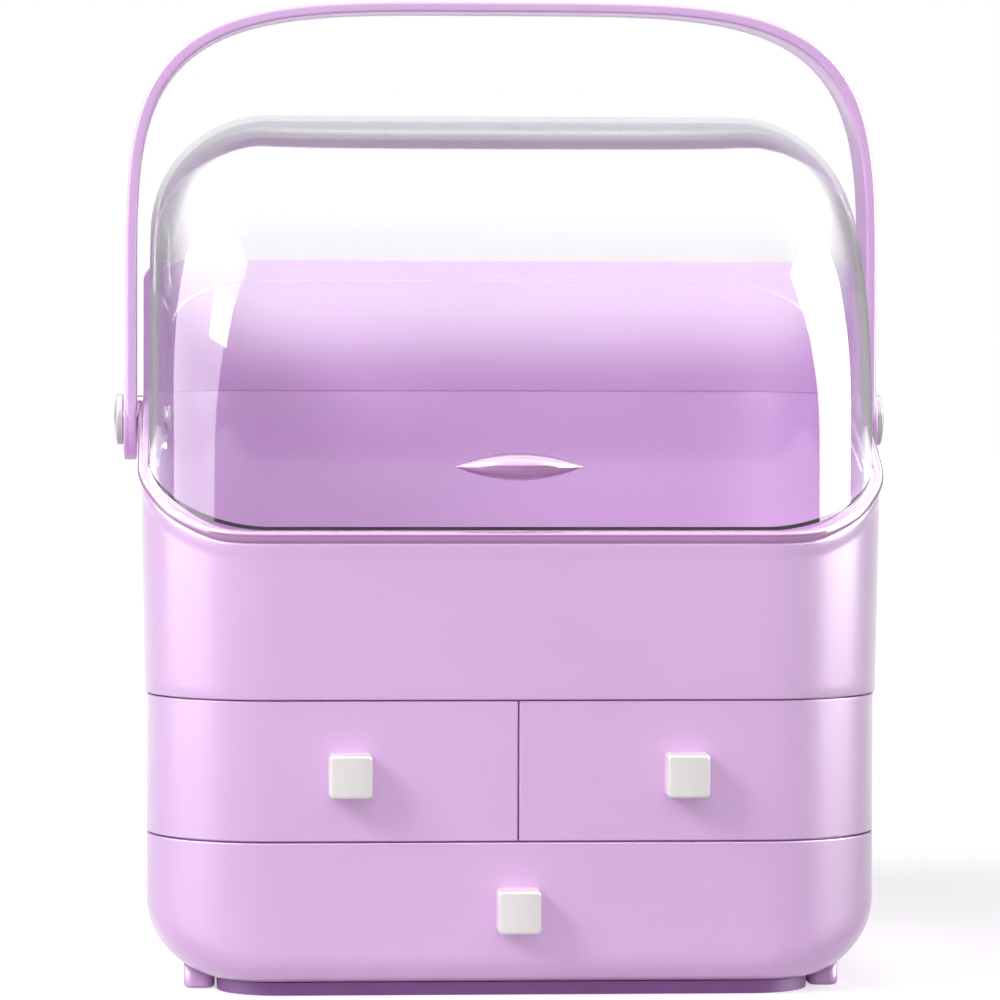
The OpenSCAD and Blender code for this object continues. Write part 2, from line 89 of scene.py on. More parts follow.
# Hubs, handle, cover and knobs
low, high = corners("handle")
PAD_OUT, STRAP_TOP, STRAP_W = high[0], high[2], 2 * high[1]
HUB_H = low[2] + STRAP_W / 2
PAD_T, STRAP_T = 0.9, 3.9
STRAP_OUT = PAD_OUT - PAD_T
STRAP_IN = STRAP_OUT - STRAP_T
ARCH_START, ARCH_POWER = 244.0, 4.3
COVER_R = -corners("clear_cover")[0][1]
low, high = corners("cover_pull")
PULL_W, PULL_D, PULL_T = high - low
PULL_H = (low[2] + high[2]) / 2
low, high = corners("knob_wide")
KNOB_W, KNOB_D, KNOB_FACE_R = high[0] - low[0], high[1] - low[1], 34.0
KNOBS = {which: corners(f"knob_{which}").mean(0)[[0, 2]] for which in ("left", "right", "wide")}
SCREW_HEAD_R, SCREW_HEAD_T, SCREW_R, SCREW_LENGTH = 3.6, 1.6, 2.0, 4.0
DECK_SCREWS = [(side * 90.0, y) for side in SIDES for y in (84.0, -72.0)]


# Finishes

def add(tree, kind, **inputs):
    """Node of a kind in a tree, with plain values on its named inputs."""
    made = tree.nodes.new(kind)
    for name, value in inputs.items():
        made.inputs[name.replace("_", " ")].default_value = value
    return made


def wire(tree, source, output, target, socket):
    tree.links.new(source.outputs[output], target.inputs[socket])


def combined(tree, operation, first, second):
    """Math node on two sources, each given as a node and its output."""
    made = add(tree, "ShaderNodeMath")
    made.operation = operation
    wire(tree, *first, made, 0)
    wire(tree, *second, made, 1)
    return made


def ramp(tree, source, start, end, at_start, at_end, kind="LINEAR"):
    """Map range node on a source: at_start up to start, at_end from end on, and a ramp between."""
    made = add(tree, "ShaderNodeMapRange", From_Min=start, From_Max=end, To_Min=at_start, To_Max=at_end)
    made.interpolation_type = kind
    wire(tree, *source, made, "Value")
    return made


def moulded_detail():
    """Node group for moulded plastic.

    The colour drifts slowly between two tones, the gloss drifts finely about its value, and the
    height is a faint, even skin.
    """
    group = bpy.data.node_groups.new("moulded_detail", "ShaderNodeTree")
    sockets = group.interface
    sockets.new_socket("Colour", in_out="INPUT", socket_type="NodeSocketColor")
    sockets.new_socket("Shade", in_out="INPUT", socket_type="NodeSocketColor")
    for name, value in (("Gloss", 0.3), ("Drift", 0.05), ("Skin Size", 900.0)):
        sockets.new_socket(name, in_out="INPUT", socket_type="NodeSocketFloat").default_value = value
    sockets.new_socket("Colour", in_out="OUTPUT", socket_type="NodeSocketColor")
    sockets.new_socket("Roughness", in_out="OUTPUT", socket_type="NodeSocketFloat")
    sockets.new_socket("Height", in_out="OUTPUT", socket_type="NodeSocketFloat")
    inside, outside = add(group, "NodeGroupInput"), add(group, "NodeGroupOutput")
    place = add(group, "ShaderNodeTexCoord")
    slow = add(group, "ShaderNodeTexNoise", Scale=11.0, Detail=2.0, Roughness=0.5)
    spread = add(group, "ShaderNodeMapRange", From_Min=0.35, From_Max=0.65)
    blend = add(group, "ShaderNodeMix")
    blend.data_type = "RGBA"
    wipes = add(group, "ShaderNodeTexNoise", Scale=38.0, Detail=5.0, Roughness=0.65)
    centred = add(group, "ShaderNodeMath")
    centred.operation = "SUBTRACT"
    centred.inputs[1].default_value = 0.5
    scaled = add(group, "ShaderNodeMath")
    scaled.operation = "MULTIPLY_ADD"
    skin = add(group, "ShaderNodeTexNoise", Detail=2.0, Roughness=0.55)
    for noise in (slow, wipes, skin):
        wire(group, place, "Object", noise, "Vector")
    wire(group, slow, "Fac", spread, "Value")
    wire(group, spread, "Result", blend, 0)
    wire(group, inside, "Colour", blend, 6)
    wire(group, inside, "Shade", blend, 7)
    wire(group, blend, 2, outside, "Colour")
    wire(group, wipes, "Fac", centred, 0)
    wire(group, centred, 0, scaled, 0)
    wire(group, inside, "Drift", scaled, 1)
    wire(group, inside, "Gloss", scaled, 2)
    wire(group, scaled, 0, outside, "Roughness")
    wire(group, inside, "Skin Size", skin, "Scale")
    wire(group, skin, "Fac", outside, "Height")
    return group


MOULDED = moulded_detail()

# Moulded skin: depth of its bump in metres, and the bump's strength
SKIN_DEPTH, SKIN_STRENGTH = 0.00002, 0.6


def plastic(name, colour, shade, gloss, coat=0.3, coat_gloss=0.12, metal=0.0):
    """Moulded plastic, or plain metal, whose colour drifts between two tones under a clear coat."""
    made = bpy.data.materials.new(name)
    made.use_nodes = True
    tree = made.node_tree
    shader = tree.nodes["Principled BSDF"]
    detail = tree.nodes.new("ShaderNodeGroup")
    detail.node_tree = MOULDED
    detail.inputs["Colour"].default_value = (*colour, 1)
    detail.inputs["Shade"].default_value = (*shade, 1)
    detail.inputs["Gloss"].default_value = gloss
    detail.inputs["Drift"].default_value = gloss * 0.25
    bump = add(tree, "ShaderNodeBump", Distance=SKIN_DEPTH, Strength=SKIN_STRENGTH)
    wire(tree, detail, "Colour", shader, "Base Color")
    wire(tree, detail, "Roughness", shader, "Roughness")
    wire(tree, detail, "Height", bump, "Height")
    wire(tree, bump, "Normal", shader, "Normal")
    shader.inputs["Metallic"].default_value = metal
    shader.inputs["Coat Weight"].default_value = coat
    shader.inputs["Coat Roughness"].default_value = coat_gloss
    return made


# Clear plastic: colours, then ramps as start, end, value at the start and value at the end. The
# edge tint is partly the plastic's own tint, seen through more of it edge on, and partly painted
# reflection of the lilac parts behind it. It grows paler with the height in metres, which is a
# painted highlight: the pale haze that a reflected softbox lays over the top. Near the top, what is
# seen edge on lets the light straight through, so that the crest stays pale.
FACE_TINT, EDGE_TINT_AND_REFLECTION = (0.995, 0.992, 1.0, 1), (0.60, 0.54, 0.70, 1)
STRAIGHT_TINT = (0.96, 0.955, 0.975, 1)
PALER_WITH_HEIGHT = (0.2, 0.3, 1.0, 0.16)
CREST_BY_HEIGHT = (0.25, 0.31, 0.0, 1.0)
CREST_BY_EDGE = (0.3, 0.65, 0.0, 0.8)
CLEAR_IOR, CLEAR_GLOSS, CLEAR_DRIFT = 1.46, 0.03, 0.04


def clear_plastic():
    """Polished clear plastic: almost colourless face on, violet grey edge on, less so at the top.

    The edge colour is partly its own tint and partly painted reflection of the lilac parts behind,
    and its paling towards the top is a painted highlight.
    """
    made = bpy.data.materials.new("clear_plastic")
    made.use_nodes = True
    tree = made.node_tree
    shader = tree.nodes["Principled BSDF"]
    edge = add(tree, "ShaderNodeLayerWeight", Blend=0.3)
    place = add(tree, "ShaderNodeTexCoord")
    parts = add(tree, "ShaderNodeSeparateXYZ")
    wire(tree, place, "Object", parts, "Vector")
    paler = ramp(tree, (parts, "Z"), *PALER_WITH_HEIGHT)
    tint = add(tree, "ShaderNodeMix")
    tint.data_type = "RGBA"
    tint.inputs[6].default_value = FACE_TINT
    tint.inputs[7].default_value = EDGE_TINT_AND_REFLECTION
    # Edge colour: partly the plastic's own tint, partly painted reflection; paler with height as a painted
    # highlight
    wire(tree, combined(tree, "MULTIPLY", (edge, "Facing"), (paler, 0)), 0, tint, 0)
    wire(tree, tint, 2, shader, "Base Color")
    detail = tree.nodes.new("ShaderNodeGroup")
    detail.node_tree = MOULDED
    detail.inputs["Gloss"].default_value = CLEAR_GLOSS
    detail.inputs["Drift"].default_value = CLEAR_DRIFT
    wire(tree, detail, "Roughness", shader, "Roughness")
    shader.inputs["Transmission Weight"].default_value = 1.0
    shader.inputs["IOR"].default_value = CLEAR_IOR
    path = add(tree, "ShaderNodeLightPath")
    unseen = combined(tree, "MAXIMUM", (path, "Is Shadow Ray"), (path, "Is Diffuse Ray"))
    grazing = ramp(tree, (edge, "Facing"), *CREST_BY_EDGE)
    upper = ramp(tree, (parts, "Z"), *CREST_BY_HEIGHT)
    crest = combined(tree, "MULTIPLY", (grazing, 0), (upper, 0))
    through = add(tree, "ShaderNodeBsdfTransparent", Color=STRAIGHT_TINT)
    mixed = add(tree, "ShaderNodeMixShader")
    wire(tree, combined(tree, "MAXIMUM", (unseen, 0), (crest, 0)), 0, mixed, 0)
    wire(tree, shader, 0, mixed, 1)
    wire(tree, through, 0, mixed, 2)
    wire(tree, mixed, 0, tree.nodes["Material Output"], "Surface")
    return made


FINISHES = {
    "lilac_plastic": plastic("lilac_plastic", (0.69, 0.43, 0.74), (0.67, 0.41, 0.72), 0.34,
                             coat=0.6, coat_gloss=0.2),
    # Dark lilac of the rim ring and the pull, far darker than the body's: painted shade, for the ring's
    # band in shade
    "lilac_trim": plastic("lilac_trim", (0.42, 0.175, 0.42), (0.40, 0.16, 0.40), 0.22,
                          coat=1.0, coat_gloss=0.04),
    "lilac_handle": plastic("lilac_handle", (0.69, 0.43, 0.74), (0.665, 0.405, 0.72), 0.4),
    # Very dark lilac of the plinth: painted shade, for the lavender plinth in shadow under the drawers
    "lilac_base": plastic("lilac_base", (0.23, 0.08, 0.28), (0.21, 0.07, 0.26), 0.5, coat=0.0),
    # Lilac of the feet, a little darker than the body's: painted shade, for the feet in shadow under the
    # case
    "lilac_feet_painted_shade": plastic("lilac_feet_painted_shade", (0.62, 0.38, 0.66), (0.58, 0.35, 0.63), 0.4),
    "drawer_plastic": plastic("drawer_plastic", (0.84, 0.79, 0.85), (0.8, 0.75, 0.82), 0.4, coat=0.1),
    "clear_plastic": clear_plastic(),
    "ivory_plastic": plastic("ivory_plastic", (0.78, 0.75, 0.74), (0.75, 0.72, 0.71), 0.34),
    # Grey for the white hub caps, a darkened copy of the ivory: painted shade, toning down the light on
    # their sideways faces
    "cap_plastic_painted_shade": plastic("cap_plastic_painted_shade", (0.55, 0.51, 0.54), (0.52, 0.48, 0.51), 0.34, coat=0.3),
    "steel": plastic("steel", (0.62, 0.62, 0.64), (0.5, 0.5, 0.52), 0.3, coat=0.0, metal=1.0),
}


# Paths seen from above

def line(start, end, step=3.0):
    """Evenly spaced points from start to end, with the normal on the right of the run."""
    start, end = np.array(start, float), np.array(end, float)
    length = np.linalg.norm(end - start)
    share = np.linspace(0, 1, max(2, int(length / step) + 1))[:, None]
    run = (end - start) / length
    points = start + (end - start) * share
    return np.hstack([points, np.tile([run[1], -run[0]], (len(points), 1))])


def arc(centre, radius, begin, end, steps=30):
    """Points of a circle between two angles in degrees, with the normal away from the centre."""
    turn = np.radians(np.linspace(begin, end, steps + 1))
    away = np.stack([np.cos(turn), np.sin(turn)], 1)
    return np.hstack([np.array(centre) + radius * away, away])


def joined(*runs):
    """One path from runs that meet, with the shared points kept once."""
    return np.vstack([runs[0], *(run[1:] for run in runs[1:])])


def front_path(half_w, half_d, radius, back_y):
    """Rounded front of a plan from the left side at back_y to the right side at back_y."""
    x, y = half_w - radius, half_d - radius
    return joined(line((-half_w, back_y), (-half_w, -y)), arc((-x, -y), radius, 180, 270),
                  line((-x, -half_d), (x, -half_d)), arc((x, -y), radius, 270, 360),
                  line((half_w, -y), (half_w, back_y)))


def back_path(half_w, half_d, radius, front_y):
    """Rounded back of a plan from the right side at front_y to the left side at front_y."""
    x, y = half_w - radius, half_d - radius
    return joined(line((half_w, front_y), (half_w, y)), arc((x, y), radius, 0, 90),
                  line((x, half_d), (-x, half_d)), arc((-x, y), radius, 90, 180),
                  line((-half_w, y), (-half_w, front_y)))


def closed_path(half_w, half_d, radius):
    """Whole rounded rectangle, with its last point left out because the first one follows it."""
    front = front_path(half_w, half_d, radius, 0)
    back = back_path(half_w, half_d, radius, 0)
    return joined(front, back)[:-1]


def rim_height(y):
    """Height of the rim: level at the front, a bowed slope, and level again behind the hubs.

    The bow is a parabola, and the slope starts by a short one that takes in the level part.
    """
    run = CASE_HALF_D - RIM_LEVEL
    start, along = RIM_LEVEL / run, (y + run) / run
    eased = (along + start) ** 2 / (4 * start)
    share = np.where(np.abs(along) < start, eased, np.clip(along, 0, 1))
    return RIM_FRONT_H + (RIM_HUB_H - RIM_FRONT_H) * share + 4 * RIM_BOW * share * (1 - share)


# Meshes

def surface(name, grid, finish, body, around=False, along=False, caps=False, stands_for=()):
    """Piece from a grid of points in millimetres, as rows by columns by xyz.

    around joins the last column to the first, along joins the last row to the first, and caps
    close the first and the last row with one face each. Doubled points are merged, which
    closes poles and seams, and faces that lose their area go.
    """
    rows, columns = grid.shape[:2]
    row = np.arange(rows if along else rows - 1)
    column = np.arange(columns if around else columns - 1)
    here, right = column, (column + 1) % columns
    low, high = row * columns, ((row + 1) % rows) * columns
    faces = np.stack([low[:, None] + here, low[:, None] + right, high[:, None] + right,
                      high[:, None] + here], 2).reshape(-1, 4).tolist()
    if caps:
        faces += [list(range(columns))[::-1], list(range((rows - 1) * columns, rows * columns))]
    return solid(name, grid.reshape(-1, 3), faces, finish, body, stands_for)


def solid(name, points, faces, finish, body, stands_for=()):
    """Smooth piece from points in millimetres and faces, riding on a body."""
    mesh = bpy.data.meshes.new(name)
    mesh.from_pydata((np.asarray(points) * MM).tolist(), [], faces)
    build = bmesh.new()
    build.from_mesh(mesh)
    bmesh.ops.remove_doubles(build, verts=build.verts, dist=0.002 * MM)
    bmesh.ops.dissolve_degenerate(build, edges=build.edges, dist=0.001 * MM)
    build.to_mesh(mesh)
    build.free()
    mesh.shade_smooth()
    mesh.materials.append(FINISHES[finish])
    piece = bpy.data.objects.new(name, mesh)
    bpy.context.scene.collection.objects.link(piece)
    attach(piece, body)
    if stands_for:
        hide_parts(*stands_for)
    return piece


def finish_edges(piece, thickness, width=EDGE):
    """Gives a sheet its wall, inwards, and rounds the sharp edges with a small fillet."""
    wall = piece.modifiers.new("wall", "SOLIDIFY")
    wall.thickness = thickness * MM
    wall.offset = -1
    wall.use_even_offset = True
    fillet = piece.modifiers.new("fillet", "BEVEL")
    fillet.width = width * MM
    fillet.segments = 3
    fillet.limit_method = "ANGLE"
    fillet.angle_limit = math.radians(42)
    fillet.harden_normals = True
    return piece


def lower_skin(name, path, top, base, rounded, body, stands_for, thickness):
    """Wall of the lower half along a path, from its top edge down.

    Each column goes straight down, and where rounded is set it then follows a quarter circle
    whose radius blends from the front's to the sides' with the square of the sideways part of
    the normal, and runs on flat to the straight line that joins the path's two ends.
    """
    place, normal = path[:, :2], path[:, 2:]
    count = len(path)
    if not rounded:
        height = np.linspace(top, base, 12)
        grid = np.zeros((len(height), count, 3))
        grid[..., :2] = place
        grid[..., 2] = height[:, None]
    else:
        radius = FRONT_ROUND + (SIDE_ROUND - FRONT_ROUND) * normal[:, 0] ** 2
        down = np.linspace(0, 1, 8)[:, None]
        turn = np.radians(np.linspace(0, 90, 19))[1:, None]
        inset = np.vstack([np.zeros((8, count)), radius * (1 - np.cos(turn))])
        height = np.vstack([top + (base + radius - top) * down, base + radius * (1 - np.sin(turn))])
        rim = place[None] - normal[None] * inset[..., None]
        edge = rim[-1]
        length = np.concatenate([[0], np.cumsum(np.linalg.norm(np.diff(edge, axis=0), axis=1))])
        chord = edge[0] + (edge[-1] - edge[0]) * (length / length[-1])[:, None]
        inward = np.linspace(0, 1, 10)[1:, None, None]
        flat = edge + (chord - edge) * inward
        grid = np.zeros((len(rim) + len(flat), count, 3))
        grid[: len(rim), :, :2] = rim
        grid[: len(rim), :, 2] = height
        grid[len(rim) :, :, :2] = flat
        grid[len(rim) :, :, 2] = base
    piece = surface(name, grid[:, ::-1], "lilac_plastic", body, stands_for=stands_for)
    return finish_edges(piece, thickness)


def wide_tray():
    """Box of the wide drawer: straight walls that turn in at the bottom beside the drawer's front.

    Its walls and its floor keep their distance from the outer form, whose quarter circles they
    share the centres of, and close in to the middle of the floor.
    """
    half_w = LOWER_HALF_W - FRONT_T - TRAY_SIDE
    half_d, middle = (TRAY_BACK - TRAY_FRONT) / 2, (TRAY_BACK + TRAY_FRONT) / 2
    side_room, floor_room = 0.3, 0.1
    path = closed_path(half_w, half_d, CORNER_R - FRONT_T - TRAY_SIDE)
    place, normal = path[:, :2] + [0, middle], path[:, 2:]
    sideways = normal[:, 0] ** 2
    radius = FRONT_ROUND + (SIDE_ROUND - FRONT_ROUND) * sideways - FRONT_T
    radius = radius - (TRAY_SIDE + side_room) * sideways
    base = BASE_H + BOX_GAP + FRONT_T + floor_room
    down = np.linspace(0, 1, 6)[:-1, None]
    turn = np.radians(np.linspace(0, 90, 13))[:, None]
    inset = np.vstack([np.zeros((5, len(path))), radius * (1 - np.cos(turn))])
    height = np.vstack([TRAY_TOP + (base + radius - TRAY_TOP) * down, base + radius * (1 - np.sin(turn))])
    wall = place[None] - normal[None] * inset[..., None]
    share = np.linspace(1, 0, 8)[1:, None, None]
    centre = np.array([0, middle])
    rings = np.concatenate([wall, centre + (wall[-1:] - centre) * share])
    levels = np.vstack([height, np.full((7, len(path)), base)])
    grid = np.dstack([rings, levels])[:, ::-1]
    piece = surface("drawer_tray_wide", grid, "drawer_plastic", "drawer_wide",
                    around=True, stands_for=["drawer_box_wide"])
    return finish_edges(piece, TRAY_T, width=0.4)


def slab(name, path, low, high, edge):
    """Plate of the case on a closed path.

    Its rings round the two edges by quarter circles and shrink to the middle.
    """
    place, normal = path[:, :2], path[:, 2:]
    turn = np.radians(np.linspace(0, 90, 5))
    inset = np.concatenate([edge * (1 - np.sin(turn)), edge * (1 - np.cos(turn))])
    height = np.concatenate([low + edge * (1 - np.cos(turn)), high - edge * (1 - np.sin(turn))])
    side = place[None] - normal[None] * inset[:, None, None]
    share = np.linspace(0, 1, 6)[:-1, None, None]
    rings = np.concatenate([side[:1] * share, side, side[-1:] * share[::-1]])
    levels = np.concatenate([np.full(5, low), height, np.full(5, high)])
    grid = np.dstack([rings, np.broadcast_to(levels[:, None], rings.shape[:2])])
    return surface(name, grid, "lilac_plastic", "base", around=True)


def upper_case_wall():
    """Wall of the upper case: one section carried round the plan, from the deck to the sloping rim.

    The section leans in below the ring by the mould's draft. Under the ring it swells in a soft
    bead, which rises as a quarter sine and dies out as a falling cosine, and fades out evenly
    towards the rear. Its top edges are quarter circles, so that a fine groove shows between the
    wall and the ring.
    """
    path = closed_path(CASE_HALF_W, CASE_HALF_D, CASE_R)
    rim = rim_height(path[:, 1])
    fillet, bead, rise, fall = 0.55, 0.45, 1.3, 5.5
    bead_end, bead_fade = CASE_HALF_D * 0.8, 40.0
    turn = np.radians(np.linspace(0, 90, 6))
    ring_base = RIM_FRONT_H - RING_H
    drop = np.concatenate([np.linspace(RING_H + rise + fall, RING_H, 24), [RING_H / 2, fillet]])
    share = np.linspace(0, 1, 14)[:-1]
    start = DECK_TOP + EDGE
    bead_low = rim - (RING_H + rise + fall)
    below = start + (bead_low - start) * share[:, None]
    banded = rim - drop[:, None]
    under_ring = drop - RING_H
    swell = np.where(under_ring < rise, np.sin(np.clip(under_ring / rise, 0, 1) * math.pi / 2),
                     (1 + np.cos(np.clip((under_ring - rise) / fall, 0, 1) * math.pi)) / 2)
    swell = np.where(under_ring > 0, bead * swell, 0)
    top = rim - fillet + fillet * np.sin(turn)[1:, None]
    height = np.vstack([below, banded, top])
    lean = CASE_DRAFT * np.clip((ring_base - height) / (ring_base - DECK_TOP), 0, None)
    plain = np.zeros(len(share) + len(swell))
    offset = np.concatenate([plain, -fillet * (1 - np.cos(turn))[1:]])[:, None] - lean
    fading = np.clip((bead_end - path[:, 1]) / bead_fade, 0, 1)
    swollen = np.concatenate([np.zeros(len(share)), swell, np.zeros(len(turn) - 1)])
    offset = offset + swollen[:, None] * fading
    foot_turn = turn[:-1]
    foot_height = DECK_TOP + EDGE * (1 - np.cos(foot_turn))
    foot = np.tile((-CASE_DRAFT - EDGE * (1 - np.sin(foot_turn)))[:, None], (1, len(path)))
    inside_top = rim - fillet + fillet * np.cos(turn)[:, None]
    inside = np.tile((-WALL + fillet * (1 - np.sin(turn)))[:, None], (1, len(path)))
    down = np.linspace(0, 1, 10)[1:, None]
    inside_wall = (rim - fillet) * (1 - down) + DECK_TOP * down
    heights = np.vstack([np.tile(foot_height[:, None], (1, len(path))), height, inside_top, inside_wall])
    leaning = -WALL - CASE_DRAFT * np.clip((ring_base - inside_wall) / (ring_base - DECK_TOP), 0, None)
    offsets = np.vstack([foot, offset, inside, leaning])
    grid = np.zeros((len(path), len(heights), 3))
    grid[..., :2] = path[:, None, :2] + path[:, None, 2:] * offsets.T[..., None]
    grid[..., 2] = heights.T
    return surface("upper_case_wall", grid, "lilac_plastic", "base",
                   around=True, along=True, stands_for=["upper_case"])


def swept_round(name, path, section, finish, body, taper=0.0, stands_for=()):
    """Closed section of offset and height under the rim, carried along an open path.

    Over the last taper of each end the section shrinks to its middle by a quarter circle.
    """
    rim = rim_height(path[:, 1])
    middle = section.mean(0)
    length = np.concatenate([[0], np.cumsum(np.linalg.norm(np.diff(path[:, :2], axis=0), axis=1))])
    near = np.minimum(length, length[-1] - length)
    size = np.ones(len(path)) if not taper else np.sqrt(1 - (1 - np.clip(near / taper, 0, 1)) ** 2)
    shape = middle + (section[None] - middle) * np.maximum(size, 0.02)[:, None, None]
    grid = np.zeros((len(path), len(section), 3))
    grid[..., :2] = path[:, None, :2] + path[:, None, 2:] * shape[..., :1]
    grid[..., 2] = rim[:, None] + shape[..., 1]
    return surface(name, grid, finish, body, around=True, caps=True, stands_for=stands_for)


def rim_roll():
    """Ring round the rim: half a superellipse outside, and a flat inner side against the wall."""
    power, sunk, low_lip, high_lip = 2.4, 0.25, 0.3, 0.9
    turn = np.radians(np.linspace(90, -90, 25))
    outward = RING_OUT * np.abs(np.cos(turn)) ** (2 / power)
    height = RING_H / 2 * np.sign(np.sin(turn)) * np.abs(np.sin(turn)) ** (2 / power) - RING_H / 2
    section = np.vstack([np.stack([outward, height], 1), [[-sunk, low_lip - RING_H], [-sunk, -high_lip]]])
    path = ring_path(CASE_HALF_W, CASE_HALF_D, CASE_R, RING_BACK)
    # The ring's dark lilac finish is painted shade.
    return swept_round("rim_roll", path, section, "lilac_trim", "base", taper=2.2,
                       stands_for=["rim_ring"])


def ring_path(half_w, half_d, radius, back_y):
    """Front path with close stations near its two ends, where the section shrinks."""
    path = front_path(half_w, half_d, radius, back_y)
    end_run, clear_run = 2.6, 2.8
    close = np.linspace(0, 1, 14)[:-1] ** 2 * end_run
    first = np.array([[-half_w, back_y - step, -1, 0] for step in close])
    last = np.array([[half_w, back_y - step, 1, 0] for step in close[::-1]])
    inner = path[path[:, 1] < back_y - clear_run]
    return np.vstack([first, inner, last])


def cover_ledge():
    """Flange inside the rim at the front, under the cover: a flat strip with rounded edges."""
    turn = np.radians(np.linspace(0, 180, 9))
    half, rooted, lowered = LEDGE_T / 2, 0.6, 0.02
    inner = -(WALL + LEDGE_IN)
    nose = np.stack([inner + half - half * np.sin(turn), -half + half * np.cos(turn)], 1)
    section = np.vstack([[[rooted - WALL, 0.0]], nose, [[rooted - WALL, -LEDGE_T]]])
    section[:, 1] -= lowered
    path = front_path(CASE_HALF_W, CASE_HALF_D, CASE_R, 0)
    path = path[path[:, 1] <= LEDGE_Y]
    return swept_round("cover_ledge", path, section[::-1], "lilac_plastic", "base")


# Handle, hubs, pull and knobs

def rounded_section(half_a, half_b, radius, steps=6):
    """Rounded rectangle about the origin as points, anticlockwise, with quarter circles at its corners."""
    turn = np.radians(np.linspace(0, 90, steps + 1))
    corner = np.stack([np.cos(turn), np.sin(turn)], 1) * radius
    side = np.array([half_a - radius, half_b - radius])
    quarter = [corner, corner[::-1] * [-1, 1], -corner, corner[::-1] * [1, -1]]
    signs = [(1, 1), (-1, 1), (-1, -1), (1, -1)]
    return np.vstack([part + side * sign for part, sign in zip(quarter, signs)])


def arch_curve(half_span, rise, share):
    """Point on a superellipse over the arms, whose angle runs slowly near the arms and the top."""
    keen = 2.2
    even = np.where(share < 0.5, share * 2, 2 - share * 2)
    eased = even ** keen / (even ** keen + (1 - even) ** keen)
    angle = eased * math.pi / 2
    side = np.where(share < 0.5, -1, 1)
    return np.stack([side * half_span * np.cos(angle) ** (2 / ARCH_POWER),
                     ARCH_START + rise * np.sin(angle) ** (2 / ARCH_POWER)], 1)


def strap_handle():
    """Strap bent into an arch: a rounded section carried up one arm, over the superellipse and down.

    Below the hubs its width follows the circle of the round end, and its thickness closes in a
    quarter circle at the very end.
    """
    end_r = STRAP_W / 2
    rounding = 1.1
    dip = np.radians(np.linspace(90, 0, 22))
    low = HUB_H - end_r * np.sin(dip)
    arm = np.linspace(HUB_H, ARCH_START, 14)[1:]
    share = np.linspace(0, 1, 145)[1:-1]
    rise = STRAP_TOP - ARCH_START
    outer_arch = arch_curve(STRAP_OUT, rise, share)
    inner_arch = arch_curve(STRAP_IN, rise - (STRAP_OUT - STRAP_IN), share)
    up = np.concatenate([low, arm])
    outer = np.vstack([np.stack([np.full(len(up), -STRAP_OUT), up], 1), outer_arch,
                       np.stack([np.full(len(up), STRAP_OUT), up[::-1]], 1)])
    inner = np.vstack([np.stack([np.full(len(up), -STRAP_IN), up], 1), inner_arch,
                       np.stack([np.full(len(up), STRAP_IN), up[::-1]], 1)])
    half_t = (STRAP_OUT - STRAP_IN) / 2
    middle, out = (outer + inner) / 2, (outer - inner) / 2 / half_t
    width = np.sqrt(np.clip(end_r ** 2 - np.clip(HUB_H - middle[:, 1], 0, None) ** 2, 0, None))
    left = np.clip(middle[:, 1] - (HUB_H - end_r), 0, rounding)
    thick = (half_t - rounding + np.sqrt(rounding ** 2 - (rounding - left) ** 2)) / half_t
    section = rounded_section(half_t, end_r, rounding)
    grid = np.zeros((len(middle), len(section), 3))
    across = section[:, 0] * thick[:, None]
    grid[..., 0] = middle[:, None, 0] + out[:, None, 0] * across
    grid[..., 1] = section[:, 1] * (np.maximum(width, 0.05) / end_r)[:, None]
    grid[..., 2] = middle[:, None, 1] + out[:, None, 1] * across
    return surface("strap_handle", grid[:, ::-1], "lilac_handle", "handle",
                   around=True, caps=True, stands_for=["handle"])


def turned(name, profile, side, finish, body, stands_for=(), steps=96):
    """Shape turned about the hub axis from a profile of distance outwards along X and radius."""
    turn = np.radians(np.linspace(0, 360, steps, endpoint=False))
    profile = np.array(profile, float)
    grid = np.zeros((len(profile), steps, 3))
    grid[..., 0] = side * profile[:, :1]
    grid[..., 1] = profile[:, 1:] * np.cos(turn)
    grid[..., 2] = HUB_H + profile[:, 1:] * np.sin(turn)
    if side < 0:
        grid = grid[:, ::-1]
    return surface(name, grid[::-1], finish, body, around=True, stands_for=stands_for)


def fillet_run(start, corner, end, radius, steps=6):
    """Quarter circle that rounds the corner between a run from start and a run to end."""
    corner = np.array(corner, float)
    first = (np.array(start) - corner) / np.linalg.norm(np.array(start) - corner)
    second = (np.array(end) - corner) / np.linalg.norm(np.array(end) - corner)
    turn = np.radians(np.linspace(0, 90, steps + 1))[:, None]
    centre = corner + (first + second) * radius
    return centre - second * radius * np.cos(turn) - first * radius * np.sin(turn)


def handle_pad(side):
    """Thicker round end of the handle: a disc with a soft edge that lies on the strap."""
    r, behind, fillet = STRAP_W / 2, STRAP_IN + 1, 0.75
    rim = r - 0.02
    profile = np.vstack([[[behind, 0], [behind, rim]],
                         fillet_run((STRAP_IN, rim), (PAD_OUT, rim), (PAD_OUT, 0), fillet),
                         [[PAD_OUT, r * 0.7], [PAD_OUT, r * 0.35], [PAD_OUT, 0]]])
    return turned(f"handle_pad_{SIDES[side]}", profile, side, "lilac_handle", "handle")


